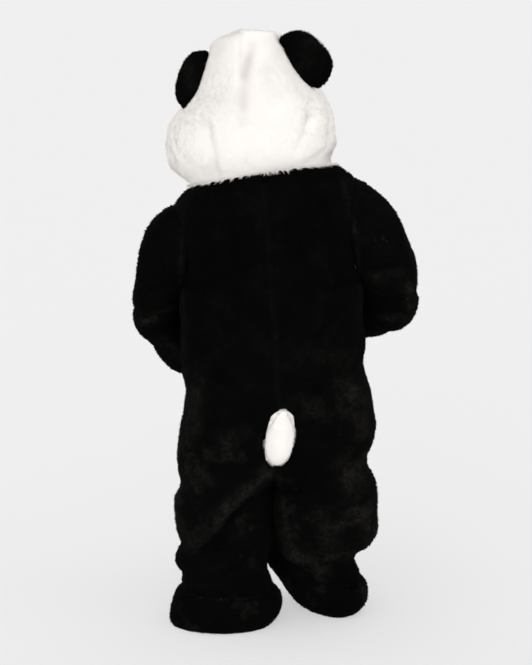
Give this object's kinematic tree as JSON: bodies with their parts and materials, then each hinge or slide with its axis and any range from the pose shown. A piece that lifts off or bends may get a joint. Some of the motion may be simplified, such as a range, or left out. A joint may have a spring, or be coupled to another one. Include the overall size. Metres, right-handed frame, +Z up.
{
  "type": "toddler's hooded panda onesie, worn form",
  "caption": "Toddler's black plush onesie with a white panda hood, black ears and a white tail, filled out and mid-step with no wearer inside.",
  "frame": {"origin": "middle of the neck between the shoulders, where the wearer carries the garment", "axes": "+Z up, -Y the garment's front, +X its own left side"},
  "size_m": [0.4044, 0.338, 0.8526],
  "materials": {
    "black_plush": "long soft pile, matt with a faint grey bloom on the turns",
    "white_plush": "long soft pile, warm white",
    "black_cuff_knit": "gathered on elastic",
    "black_zip_tape": "woven tape",
    "black_zip_plastic": "moulded teeth",
    "dark_zip_metal": "dark plated"
  },
  "bodies": {
    "onesie": {"back_left": "black_plush", "back_right": "black_plush", "front_left": "black_plush", "front_right": "black_plush", "sleeve_left_upper": "black_plush", "sleeve_left_lower": "black_plush", "sleeve_right_upper": "black_plush", "sleeve_right_lower": "black_plush", "cuff_left": "black_cuff_knit", "cuff_right": "black_cuff_knit", "ankle_cuff_left": "black_plush", "ankle_cuff_right": "black_plush", "hood_left": "white_plush", "hood_right": "white_plush", "ear_left_back": "black_plush", "ear_left_front": "black_plush", "ear_right_back": "black_plush", "ear_right_front": "black_plush", "tail": "white_plush", "zip_tape_left": "black_zip_tape", "zip_tape_right": "black_zip_tape", "zip_chain": "black_zip_plastic", "zip_slider": "dark_zip_metal"},
    "pull_tab": {"zip_pull": "dark_zip_metal"}
  },
  "joints": [
    {"name": "pull_tab_swing", "type": "hinge", "parent": "onesie", "child": "pull_tab", "pos_m": [0.00833, -0.06656, -0.02876], "axis": [-1, 0, 0], "range_deg": [0, 150]}
  ]
}
